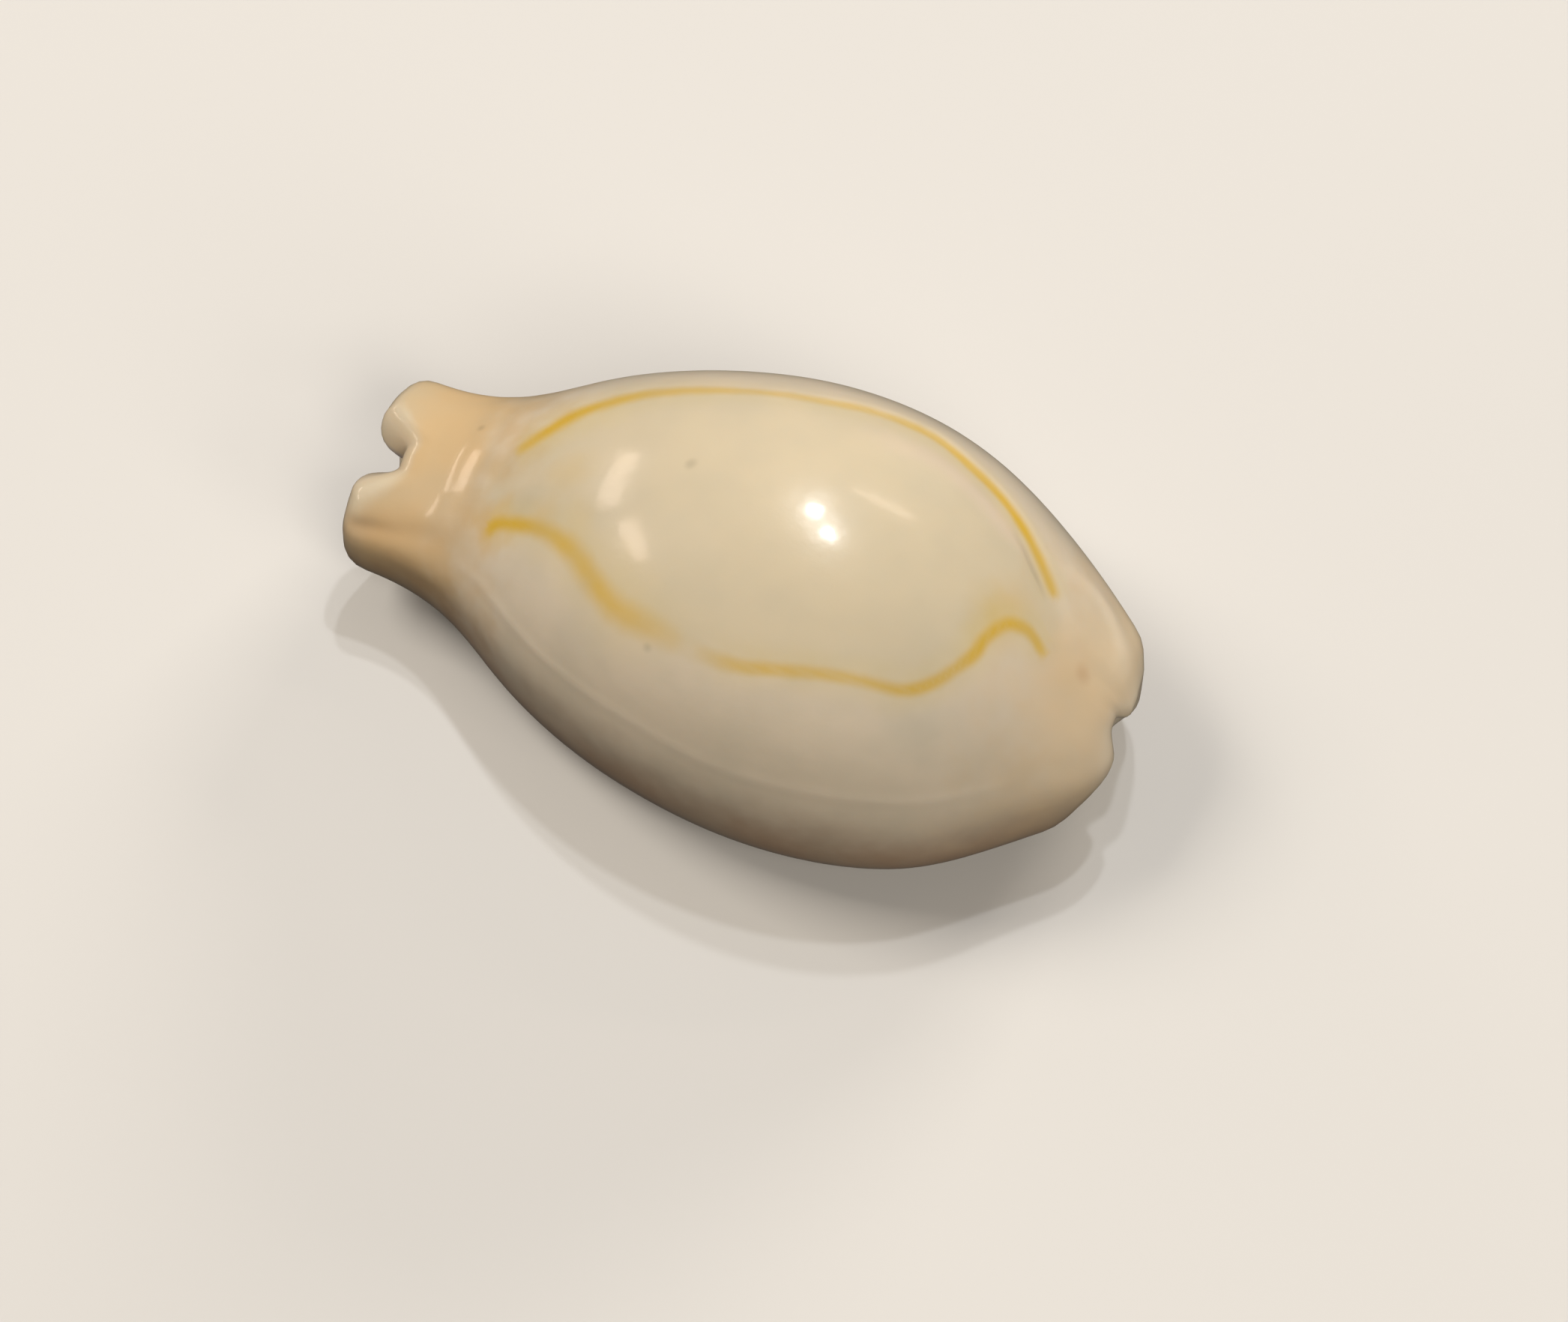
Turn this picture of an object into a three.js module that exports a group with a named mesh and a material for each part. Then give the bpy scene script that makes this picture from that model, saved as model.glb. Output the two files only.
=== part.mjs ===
// A small cowrie shell, lying on its base with its domed back up. Millimetres, +Z up.
// +X runs to the broad posterior end, -X to the narrow anterior end, which is drawn out into a
// short spout. +Y is the outer-lip (labral) side and -Y is the columellar side.
//
// The shell grew as one piece of calcium carbonate, so it is one mesh. It is modelled as one thick
// slab rolled round the animal's chamber until its two long edges, the toothed lips, face each
// other across the narrow aperture along the base. The slab's two short edges are the ends of the
// shell, each with a notch where a canal leaves the chamber.

import * as THREE from "three";
import { mergeVertices } from "three/addons/utils/BufferGeometryUtils.js";

// ---- Driving dimensions ----
const SHELL_LENGTH = 24;
const HALF_LENGTH = SHELL_LENGTH / 2;

// One value every 2 mm along the shell, from the anterior end to the posterior end.
const HALF_WIDTH = [3.15, 3, 3.52, 4.88, 5.75, 6.35, 6.75, 6.9, 6.8, 6.4, 5.55, 4, 2.3];
const MIDLINE = [0.42, 0.48, 0.47, 0.32, 0.17, 0.04, 0, -0.08, -0.13, -0.2, -0.3, 0, 0.05];
const CREST_HEIGHT = [4.85, 4.5, 5.55, 7.1, 8.35, 9.3, 9.85, 10.05, 9.8, 9, 7.7, 5.8, 4.2];
const GIRTH_HEIGHT = [3, 3, 3, 3.1, 3.1, 3.2, 3.2, 3.2, 3.2, 3.2, 3.15, 3.1, 3.1];
const BASE_HEIGHT = [1.2, 0.6, 0.1, -0.06, -0.12, -0.14, -0.14, -0.14, -0.12, -0.06, 0.1, 0.3, 1.1];

// The aperture: where its middle runs across the base, and half its width between tooth bases.
const APERTURE_LINE = [0.4, 0.45, 0.5, 0.55, 0.6, 0.6, 0.58, 0.5, 0.38, 0.2, -0.1, -0.45, -0.8];
const APERTURE_HALF = [0.75, 0.75, 0.7, 0.65, 0.62, 0.6, 0.6, 0.6, 0.6, 0.6, 0.62, 0.65, 0.65];

// Wall thickness: thin over the back, heavy at the sides, heaviest in the lips.
const ROOF_WALL = [1.3, 1.25, 1.2, 1.1, 1.05, 1, 1, 1, 1, 1.1, 1.3, 1.2, 0.9];
const SIDE_WALL = [2.1, 2.1, 2, 1.9, 1.85, 1.8, 1.8, 1.8, 1.85, 1.9, 2.1, 2.2, 1.9];
const LIP_WALL = [1.3, 1.4, 1.6, 1.9, 2, 2.1, 2.1, 2.1, 2.1, 2.1, 1.95, 1.7, 1.3];
const LEAST_CHAMBER = 0.3;

// How square a cross-section is: 2 is an ellipse, more is fuller in the corners.
const BACK_FULLNESS = 2.1;
const BASE_FULLNESS = 3;
const CHAMBER_FULLNESS = 2.1;
// The back's shape changes into the base's between these cosines of the angle from the crest.
const GIRTH_BLEND = 0.5;

// The notches at the two ends, seen from above. Angles are measured in degrees round the shell from
// its crest, positive towards the outer lip. The lips lie at about LIP_ANGLE. A notch keeps its full
// depth for "floor" degrees on both sides of its middle, then fades out over the rest of the way to
// its columellar or labral shoulder.
const LIP_ANGLE = 173;
const ANTERIOR_NOTCH = { depth: 1.1, middle: -11, floor: 16, columellar: 54, labral: 55 };
const POSTERIOR_NOTCH = { depth: 0.32, middle: -26, floor: 10, columellar: 85, labral: 48 };

// Where the ends draw back lower down, so that each lobe is a rounded knob.
const ANTERIOR_UNDERCUT = { depth: 0.5, from: 110, to: 180 };
const ANTERIOR_SKEW = { depth: 0.1, from: 0, to: 60 };
const LABRAL_SHOULDER = { depth: 0.15, from: 38, to: 85 };
const LABRAL_UNDERCUT = { depth: 0.65, from: 108, to: 155 };
const COLUMELLAR_UNDERCUT = { depth: 0.7, from: 105, to: 150 };

// How far the rims round off, and how square that rounding is: 2 is a half circle.
const END_RIM_ROUND = 0.85;
const LIP_ROUND = 0.075;
const LIP_ROUND_POWER = 6;
const RIM_FULLNESS = 2.3;

// The teeth along both lips: short rounded ridges with a groove between each two. Fifteen spacings
// fill the whole length, and the ones nearest the ends fade out, which leaves about twelve teeth.
// BASE_FROM is how far round, from the crest at 0 to a lip at 1, the teeth may start.
const TOOTH_SPACINGS = 15;
const TOOTH_REACH = 0.16;
const TOOTH_DEPTH = 0.28;
const TOOTH_LENGTH = 1.5;
const TOOTH_FULL_SHARE = 0.4;
const TOOTHED_FROM = -9.8;
const TOOTHED_TO = 9.8;
const TOOTH_FADE = 1.5;
const BASE_FROM = 0.7;

// The mesh: facets round the shell, along it, and through its wall.
const FACETS_ROUND = 32;
const FACETS_ALONG = 60;
const FACETS_THROUGH = 4;
const MERGE_WITHIN = 1e-4;
const LIP_CROWDING = 0.62;

const PEARL_WHITE = 0xd8ceb8;

// ---- Helpers ----

// A uniform cubic B-spline through evenly spaced values along the shell.
function along(values, x) {
  const last = values.length - 1;
  const place = THREE.MathUtils.clamp(((x + HALF_LENGTH) / SHELL_LENGTH) * last, 0, last);
  const i = Math.min(Math.floor(place), last - 1);
  const t = place - i;
  const before = i > 0 ? values[i - 1] : 2 * values[0] - values[1];
  const after = i < last - 1 ? values[i + 2] : 2 * values[last] - values[last - 1];
  const a = (1 - t) ** 3;
  const b = 3 * t ** 3 - 6 * t ** 2 + 4;
  const c = -3 * t ** 3 + 3 * t ** 2 + 3 * t + 1;
  return (a * before + b * values[i] + c * values[i + 1] + t ** 3 * after) / 6;
}

// Goes smoothly from 0 at "from" to 1 at "to".
function ease(from, to, value) {
  return THREE.MathUtils.smoothstep(value, from, to);
}

function blend(a, b, amount) {
  return a + (b - a) * amount;
}

const degrees = THREE.MathUtils.degToRad;

// A point on a closed rounded section at an angle measured from straight up, towards +Y.
function section(angle, halfWidth, above, below, backFullness, baseFullness) {
  const up = ease(-GIRTH_BLEND, GIRTH_BLEND, Math.cos(angle));
  const tall = blend(below, above, up);
  const power = blend(baseFullness, backFullness, up);
  const across = Math.abs(Math.sin(angle) / halfWidth) ** power;
  const upright = Math.abs(Math.cos(angle) / tall) ** power;
  const radius = (across + upright) ** (-1 / power);
  return [radius * Math.sin(angle), radius * Math.cos(angle)];
}

// How deep a notch is at an angle: all of its depth on its floor, none past its shoulders.
function notch(shape, angle) {
  const off = angle - degrees(shape.middle);
  const shoulder = degrees(off < 0 ? shape.columellar : shape.labral);
  return shape.depth * (1 - ease(degrees(shape.floor), shoulder, Math.abs(off)));
}

// How far an end is drawn back at an angle.
function setBack(shape, angle) {
  return shape.depth * ease(degrees(shape.from), degrees(shape.to), angle);
}

// Where each end of the shell stops, at an angle round it.
function anteriorEnd(angle) {
  const drawnBack = setBack(ANTERIOR_UNDERCUT, Math.abs(angle)) + setBack(ANTERIOR_SKEW, -angle);
  return -HALF_LENGTH + notch(ANTERIOR_NOTCH, angle) + drawnBack;
}

function posteriorEnd(angle) {
  const labral = setBack(LABRAL_SHOULDER, angle) + setBack(LABRAL_UNDERCUT, angle);
  const columellar = setBack(COLUMELLAR_UNDERCUT, -angle);
  return HALF_LENGTH - notch(POSTERIOR_NOTCH, angle) - labral - columellar;
}

// The angle of each lip's edge, for an aperture seen from a centre "drop" above it.
function lipAngle(side, x, halfGap, drop) {
  const offset = side * (along(APERTURE_LINE, x) - along(MIDLINE, x)) + halfGap;
  return Math.PI - Math.atan2(offset, drop);
}

// 1 on the crest of a tooth, 0 in the groove beside it. The two lips' teeth interlock.
function tooth(side, lengthways) {
  const turn = lengthways * TOOTH_SPACINGS * 2 * Math.PI + (side > 0 ? 0 : Math.PI);
  return 0.5 + 0.5 * Math.cos(turn);
}

// How much of a groove's depth is left at a distance from the aperture's edge.
function toothed(x, fromEdge) {
  const starts = ease(TOOTHED_FROM, TOOTHED_FROM + TOOTH_FADE, x);
  const stops = 1 - ease(TOOTHED_TO - TOOTH_FADE, TOOTHED_TO, x);
  return starts * stops * (1 - ease(TOOTH_FULL_SHARE * TOOTH_LENGTH, TOOTH_LENGTH, fromEdge));
}

// A point of the rolled wall. round: -1 at the columellar lip, 0 on the crest, 1 at the outer lip.
// lengthways: 0 at the anterior end, 1 at the posterior end. inward: 0 outside, 1 in the chamber.
function wallPoint(round, lengthways, inward) {
  const side = round < 0 ? -1 : 1;
  const turned = Math.abs(round);
  // A nearly circular arc through the thickness of the wall rounds off its four edges.
  const offMiddle = Math.abs(2 * inward - 1) ** RIM_FULLNESS;
  const rounding = 1 - Math.max(0, 1 - offMiddle) ** (1 / RIM_FULLNESS);
  const roughAngle = round * degrees(LIP_ANGLE);
  const from = anteriorEnd(roughAngle) + END_RIM_ROUND * rounding;
  const to = posteriorEnd(roughAngle) - END_RIM_ROUND * rounding;
  const x = blend(from, to, lengthways);

  const centreHeight = along(GIRTH_HEIGHT, x);
  const above = along(CREST_HEIGHT, x) - centreHeight;
  const below = centreHeight - along(BASE_HEIGHT, x);
  const halfWidth = along(HALF_WIDTH, x);
  const chamberAbove = Math.max(above - along(ROOF_WALL, x), LEAST_CHAMBER);
  const chamberBelow = Math.max(below - along(LIP_WALL, x), LEAST_CHAMBER);
  const chamberHalf = halfWidth - along(SIDE_WALL, x);

  const pullBack = 1 - LIP_ROUND * rounding * turned ** LIP_ROUND_POWER;
  const halfGap = along(APERTURE_HALF, x);
  const edge = lipAngle(side, x, halfGap, below);
  const fromEdge = below * (Math.tan(Math.PI - turned * edge * pullBack) - Math.tan(Math.PI - edge));
  const onBase = turned > BASE_FROM ? 1 - ease(0.5, 1, inward) : 0;
  const onLip = onBase * toothed(x, fromEdge);
  const groove = (1 - tooth(side, lengthways)) * onLip;
  const gap = halfGap - TOOTH_REACH * (0.5 - groove) * onLip;
  const outerAngle = round * lipAngle(side, x, gap, below) * pullBack;
  const innerAngle = round * lipAngle(side, x, gap, chamberBelow) * pullBack;

  const [outY, outZ] = section(outerAngle, halfWidth, above, below, BACK_FULLNESS, BASE_FULLNESS);
  const [inY, inZ] = section(
    innerAngle,
    chamberHalf,
    chamberAbove,
    chamberBelow,
    CHAMBER_FULLNESS,
    CHAMBER_FULLNESS,
  );
  const y = along(MIDLINE, x) + blend(outY, inY, inward);
  const z = centreHeight + blend(outZ, inZ, inward);
  // The base is worn to a flat on both lips, so the shell stands steady. Grooves cut up into it.
  return new THREE.Vector3(x, y, Math.max(z, 0) + TOOTH_DEPTH * groove);
}

// ---- The shell ----

const slab = new THREE.BoxGeometry(2, 1, 1, FACETS_ROUND, FACETS_ALONG, FACETS_THROUGH);
const place = slab.getAttribute("position");
for (let i = 0; i < place.count; i += 1) {
  const bend = (LIP_CROWDING * Math.PI) / 2;
  const round = -Math.sin(place.getX(i) * bend) / Math.sin(bend);
  const lengthways = place.getY(i) + 0.5;
  const inward = 0.5 - 0.5 * Math.cos((0.5 - place.getZ(i)) * Math.PI);
  const point = wallPoint(round, lengthways, inward);
  place.setXYZ(i, point.x, point.y, point.z);
}
slab.deleteAttribute("uv");
slab.deleteAttribute("normal");
const shell = mergeVertices(slab, MERGE_WITHIN);

// The origin is under the middle of the shell, on the surface it lies on.
shell.computeBoundingBox();
const middle = shell.boundingBox.getCenter(new THREE.Vector3());
shell.translate(-middle.x, -middle.y, -shell.boundingBox.min.z);
shell.computeVertexNormals();

const enamel = new THREE.MeshStandardMaterial({ color: PEARL_WHITE, roughness: 0.15, metalness: 0 });
const shellMesh = new THREE.Mesh(shell, enamel);
shellMesh.name = "shell";

const cowrie = new THREE.Group();
cowrie.add(shellMesh);

export default cowrie;
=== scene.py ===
# %% [markdown]
# # A cowrie shell
# This lesson builds one small cowrie: a glossy, egg-shaped sea shell that lies on its toothed base
# with its domed back up. A cowrie is the last whorl of a snail's shell, rolled right over the older
# whorls, so from outside it is one thick wall wrapped round a chamber. We model it in the same way:
# a flat slab is cut into fine facets and rolled up. Then we raise the small relief that the snail's
# mantle laid down, paint the markings from distances measured on the surface, and light it.

import math

import bmesh
import bpy
import numpy as np
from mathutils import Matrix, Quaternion, Vector, kdtree


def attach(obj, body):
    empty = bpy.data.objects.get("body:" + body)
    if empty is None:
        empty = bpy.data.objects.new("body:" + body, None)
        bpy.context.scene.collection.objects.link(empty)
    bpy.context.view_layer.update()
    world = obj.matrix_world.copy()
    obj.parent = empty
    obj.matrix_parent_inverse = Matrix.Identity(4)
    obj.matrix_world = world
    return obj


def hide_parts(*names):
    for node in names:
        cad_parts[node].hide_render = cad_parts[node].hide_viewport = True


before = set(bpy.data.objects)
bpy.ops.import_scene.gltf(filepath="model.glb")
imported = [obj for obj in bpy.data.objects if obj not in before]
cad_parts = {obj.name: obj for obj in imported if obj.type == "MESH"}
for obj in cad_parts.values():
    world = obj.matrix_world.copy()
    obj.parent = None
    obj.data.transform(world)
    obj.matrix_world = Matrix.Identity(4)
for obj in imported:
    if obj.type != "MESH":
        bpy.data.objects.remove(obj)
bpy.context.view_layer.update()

# %% [markdown]
# Blender works in metres and the shell is measured in millimetres, so every length below is written
# in millimetres and turned to metres once, at the end. Colours are written as hex values, as a
# paint chart gives them. Shaders add up light, which needs linear values, so one function converts
# them.

# %% Units and colours
MM = 0.001


def paint(hex_colour):
    """A hex colour as the linear red, green, blue and alpha that shaders use."""
    channels = [int(hex_colour[i : i + 2], 16) / 255 for i in (1, 3, 5)]
    linear = [c / 12.92 if c <= 0.04045 else ((c + 0.055) / 1.055) ** 2.4 for c in channels]
    return (*linear, 1.0)


print("middle grey, #808080, is", round(paint("#808080")[0], 3), "in linear light")

# %% [markdown]
# ## The shell's measurements
# A boatbuilder draws a hull as a few widths and heights at even stations. A shell suits the same
# method. Each list holds one value every 2 mm, from the narrow anterior end (-X) to the broad
# posterior end (+X). A smooth curve gives the value anywhere between. It is a B-spline, which evens
# the values out a little as it passes, so it runs close to each rather than exactly through it.

# %% Stations along the shell
HALF_LENGTH = 12.0
HALF_WIDTH = [3.15, 3, 3.52, 4.88, 5.75, 6.35, 6.75, 6.9, 6.8, 6.4, 5.55, 4, 2.3]
MIDLINE = [0.42, 0.48, 0.47, 0.32, 0.17, 0.04, 0, -0.08, -0.13, -0.2, -0.3, 0, 0.05]
CREST_HEIGHT = [4.85, 4.5, 5.55, 7.1, 8.35, 9.3, 9.85, 10.05, 9.8, 9, 7.7, 5.8, 4.2]
GIRTH_HEIGHT = [3, 3, 3, 3.1, 3.1, 3.2, 3.2, 3.2, 3.2, 3.2, 3.15, 3.1, 3.1]
BASE_HEIGHT = [1.2, 0.6, 0.1, -0.06, -0.12, -0.14, -0.14, -0.14, -0.12, -0.06, 0.1, 0.3, 1.1]
APERTURE_LINE = [0.4, 0.45, 0.5, 0.55, 0.6, 0.6, 0.58, 0.5, 0.38, 0.2, -0.1, -0.45, -0.8]
APERTURE_HALF = [0.75, 0.75, 0.7, 0.65, 0.62, 0.6, 0.6, 0.6, 0.6, 0.6, 0.62, 0.65, 0.65]
ROOF_WALL = [1.3, 1.25, 1.2, 1.1, 1.05, 1, 1, 1, 1, 1.1, 1.3, 1.2, 0.9]
SIDE_WALL = [2.1, 2.1, 2, 1.9, 1.85, 1.8, 1.8, 1.8, 1.85, 1.9, 2.1, 2.2, 1.9]
LIP_WALL = [1.3, 1.4, 1.6, 1.9, 2, 2.1, 2.1, 2.1, 2.1, 2.1, 1.95, 1.7, 1.3]
LEAST_CHAMBER = 0.3


def along(stations, x):
    """The uniform cubic B-spline that the stations steer, read at x in mm."""
    values = np.asarray(stations, dtype=float)
    last = len(values) - 1
    place = np.clip((x + HALF_LENGTH) / (2 * HALF_LENGTH) * last, 0, last)
    i = np.minimum(place.astype(int), last - 1)
    t = place - i
    ends = np.concatenate([[2 * values[0] - values[1]], values, [2 * values[-1] - values[-2]]])
    weights = (
        (1 - t) ** 3,
        3 * t**3 - 6 * t**2 + 4,
        -3 * t**3 + 3 * t**2 + 3 * t + 1,
        t**3,
    )
    return sum(w * ends[i + k] for k, w in enumerate(weights)) / 6


def ease(start, stop, value):
    """Goes smoothly from 0 at start to 1 at stop."""
    t = np.clip((value - start) / (stop - start), 0, 1)
    return t * t * (3 - 2 * t)


def blend(a, b, amount):
    return a + (b - a) * amount


print("half width amidships:", round(float(along(HALF_WIDTH, np.array(1.0))), 2), "mm")

# %% [markdown]
# ## One cross-section
# Cut across, the shell is nearly an ellipse above and squarer below, where the lips flatten to a
# base. A superellipse does both with one number, its fullness: 2 is an ellipse and 3 is squarer.
# The angle is measured from the crest, positive towards the outer lip (+Y). Round the girth, one
# shape runs smoothly into the other.

# %% The section curve
BACK_FULLNESS = 2.1
BASE_FULLNESS = 3.0
CHAMBER_FULLNESS = 2.1
GIRTH_BLEND = 0.5


def section(angle, half_width, above, below, back_fullness, base_fullness):
    """Across and upright distances, from the section's centre, of the point at an angle."""
    up = ease(-GIRTH_BLEND, GIRTH_BLEND, np.cos(angle))
    tall = blend(below, above, up)
    power = blend(base_fullness, back_fullness, up)
    across = np.abs(np.sin(angle) / half_width) ** power
    upright = np.abs(np.cos(angle) / tall) ** power
    radius = (across + upright) ** (-1 / power)
    return radius * np.sin(angle), radius * np.cos(angle)


# %% [markdown]
# ## The two ends
# A canal leaves the chamber at each end, and each cuts a notch in the rim: a deep U between two
# blunt lobes at the front, and a shallow step at the back, where the outer lip's lobe reaches past
# the other. Lower down both ends draw back, so that each lobe is a rounded knob. We could cut the
# notches out with a boolean, but its edges would be sharp. Instead, each end simply stops at a
# different place at each angle round the shell.

# %% Where the ends stop
ANTERIOR_NOTCH = {"depth": 1.1, "middle": -11, "floor": 16, "columellar": 54, "labral": 55}
POSTERIOR_NOTCH = {"depth": 0.32, "middle": -26, "floor": 10, "columellar": 85, "labral": 48}
ANTERIOR_UNDERCUT = {"depth": 0.5, "start": 110, "stop": 180}
ANTERIOR_SKEW = {"depth": 0.1, "start": 0, "stop": 60}
LABRAL_SHOULDER = {"depth": 0.15, "start": 38, "stop": 85}
LABRAL_UNDERCUT = {"depth": 0.65, "start": 108, "stop": 155}
COLUMELLAR_UNDERCUT = {"depth": 0.7, "start": 105, "stop": 150}


def notch(shape, degrees):
    """The depth of a notch: all of it on its floor, and none past its shoulders."""
    off = degrees - shape["middle"]
    shoulder = np.where(off < 0, shape["columellar"], shape["labral"])
    return shape["depth"] * (1 - ease(shape["floor"], shoulder, np.abs(off)))


def set_back(shape, degrees):
    """How far an end is drawn back at an angle."""
    return shape["depth"] * ease(shape["start"], shape["stop"], degrees)


def anterior_end(degrees):
    drawn_back = set_back(ANTERIOR_UNDERCUT, np.abs(degrees)) + set_back(ANTERIOR_SKEW, -degrees)
    return -HALF_LENGTH + notch(ANTERIOR_NOTCH, degrees) + drawn_back


def posterior_end(degrees):
    labral = set_back(LABRAL_SHOULDER, degrees) + set_back(LABRAL_UNDERCUT, degrees)
    columellar = set_back(COLUMELLAR_UNDERCUT, -degrees)
    return HALF_LENGTH - notch(POSTERIOR_NOTCH, degrees) - labral - columellar


print("the anterior notch's floor is at", round(float(anterior_end(-11.0)), 2), "mm")

# %% [markdown]
# ## Teeth
# Both lips carry about a dozen short, coarse teeth along the aperture, and the two rows interlock.
# They are easiest to see as grooves cut between flat-topped ridges, so the ridges keep the height
# of the base, and the shell still lies flat.

# %% The tooth pattern
TOOTH_SPACINGS = 15
TOOTH_REACH = 0.16
TOOTH_DEPTH = 0.28
TOOTH_LENGTH = 1.5
TOOTH_FULL_SHARE = 0.4
TOOTHED_FROM, TOOTHED_TO = -9.8, 9.8
TOOTH_FADE = 1.5


def tooth_groove(side, lengthways):
    """0 on the crest of a tooth and 1 in the groove, with one lip half a tooth ahead."""
    turn = lengthways * TOOTH_SPACINGS * 2 * np.pi + np.where(side > 0, 0, np.pi)
    return 0.5 - 0.5 * np.cos(turn)


def toothed(x, from_edge):
    """How much of a groove is left at x, and at a distance from the aperture's edge."""
    starts = ease(TOOTHED_FROM, TOOTHED_FROM + TOOTH_FADE, x)
    stops = 1 - ease(TOOTHED_TO - TOOTH_FADE, TOOTHED_TO, x)
    along_tooth = 1 - ease(TOOTH_FULL_SHARE * TOOTH_LENGTH, TOOTH_LENGTH, from_edge)
    return starts * stops * along_tooth


# %% [markdown]
# ## Rolling the slab
# Now one function can say where any point of the flat slab goes. `round_way` runs from the
# columellar lip (-1) over the crest (0) to the outer lip (+1), `lengthways` from the anterior end
# (0) to the posterior (1), and `inward` from the outside (0) to the chamber (1). A nearly
# half-round profile through the thickness rounds all four edges, as a cowrie's thick lips are
# rounded.

# %% Where a point of the slab goes
END_RIM_ROUND = 0.85
LIP_ROUND = 0.075
LIP_ROUND_POWER = 6
BASE_FROM = 0.7
BASE_GONE_FROM = 0.5
RIM_FULLNESS = 2.3
LIP_ANGLE = 173


def lip_angle(side, x, half_gap, drop):
    """The angle of a lip's edge, for an aperture a distance drop below the centre."""
    offset = side * (along(APERTURE_LINE, x) - along(MIDLINE, x)) + half_gap
    return np.pi - np.arctan2(offset, drop)


def rolled_wall(round_way, lengthways, inward):
    side = np.where(round_way < 0, -1, 1)
    turned = np.abs(round_way)
    off_middle = np.abs(2 * inward - 1) ** RIM_FULLNESS
    rounding = 1 - np.clip(1 - off_middle, 0, 1) ** (1 / RIM_FULLNESS)
    rough_angle = round_way * LIP_ANGLE
    start = anterior_end(rough_angle) + END_RIM_ROUND * rounding
    stop = posterior_end(rough_angle) - END_RIM_ROUND * rounding
    x = blend(start, stop, lengthways)

    centre = along(GIRTH_HEIGHT, x)
    above = along(CREST_HEIGHT, x) - centre
    below = centre - along(BASE_HEIGHT, x)
    half_width = along(HALF_WIDTH, x)
    chamber_above = np.maximum(above - along(ROOF_WALL, x), LEAST_CHAMBER)
    chamber_below = np.maximum(below - along(LIP_WALL, x), LEAST_CHAMBER)
    chamber_half = half_width - along(SIDE_WALL, x)

    pull_back = 1 - LIP_ROUND * rounding * turned**LIP_ROUND_POWER
    half_gap = along(APERTURE_HALF, x)
    edge = lip_angle(side, x, half_gap, below)
    from_edge = below * (np.tan(np.pi - turned * edge * pull_back) - np.tan(np.pi - edge))
    on_base = np.where(turned > BASE_FROM, 1 - ease(BASE_GONE_FROM, 1, inward), 0)
    on_lip = on_base * toothed(x, from_edge)
    groove = tooth_groove(side, lengthways) * on_lip
    gap = half_gap - TOOTH_REACH * (0.5 - groove) * on_lip

    outer_angle = round_way * lip_angle(side, x, gap, below) * pull_back
    inner_angle = round_way * lip_angle(side, x, gap, chamber_below) * pull_back
    out_y, out_z = section(outer_angle, half_width, above, below, BACK_FULLNESS, BASE_FULLNESS)
    in_y, in_z = section(
        inner_angle, chamber_half, chamber_above, chamber_below, CHAMBER_FULLNESS, CHAMBER_FULLNESS
    )
    y = along(MIDLINE, x) + blend(out_y, in_y, inward)
    z = np.maximum(centre + blend(out_z, in_z, inward), 0) + TOOTH_DEPTH * groove
    return np.stack([x, y, z], axis=-1)


# %% [markdown]
# ## Cutting the slab into facets
# The slab starts as a bmesh cube. Its edges fall into three sets, one along each axis, and
# `subdivide_edges` cuts each set into as many pieces as that direction needs. Every face stays a
# four-sided patch, so the rolled surface shades evenly. Round and along, facets of about 0.15 mm
# are needed to carry a ring line that is a third of a millimetre wide at its narrowest.

# %% A cube becomes a fine slab
FACETS_ROUND = 240
FACETS_ALONG = 170
FACETS_THROUGH = 12
SAME_PLACE = 1e-6


def edges_along(mesh, axis):
    """The edges that run along one axis (0, 1 or 2)."""
    others = [i for i in range(3) if i != axis]
    chosen = []
    for edge in mesh.edges:
        a, b = edge.verts[0].co, edge.verts[1].co
        if all(abs(a[i] - b[i]) < SAME_PLACE for i in others):
            chosen.append(edge)
    return chosen


slab = bmesh.new()
bmesh.ops.create_cube(slab, size=2.0)
for axis, facets in ((2, FACETS_THROUGH), (1, FACETS_ALONG), (0, FACETS_ROUND)):
    bmesh.ops.subdivide_edges(
        slab, edges=edges_along(slab, axis), cuts=facets - 1, use_grid_fill=True
    )
sides = {len(face.verts) for face in slab.faces}
print(len(slab.faces), "faces, with these numbers of sides:", sides)

# %% [markdown]
# The cube runs from -1 to 1 on each axis. X is the way round, Y the way along and Z the way out.
# Through the thickness the layers are spaced like the rungs on a half circle, so that the rounded
# rims get even facets.

# %% Rolling it up
flat = np.array([vertex.co[:] for vertex in slab.verts])
round_way = -flat[:, 0]
lengthways = (flat[:, 1] + 1) / 2
inward = 0.5 - 0.5 * np.cos((1 - flat[:, 2]) / 2 * np.pi)
rolled = rolled_wall(round_way, lengthways, inward)

middle = (rolled.min(axis=0) + rolled.max(axis=0)) / 2
middle[2] = rolled[:, 2].min()
for vertex, place in zip(slab.verts, rolled - middle):
    vertex.co = place
slab.normal_update()
size = rolled.max(axis=0) - rolled.min(axis=0)
print("rolled size, in mm:", size.round(2), " volume, in mm3:", round(slab.calc_volume(), 1))

# %% [markdown]
# ## Lines on the surface
# Nearly all that we see on the shell follows a line: the gold ring where the two flaps of the
# mantle nearly met, the low ridge along the margin, the crease in a lobe. Each is a smooth path
# through a few points, laid on the shell with the same section function, so nothing has to be
# projected. A point says where it is along the shell in mm and round it in degrees from the crest,
# how strong the line is there, and half its width in mm. Strength 0 breaks a line.

# %% Laying a path on the shell
STEPS_PER_POINT = 24


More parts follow.
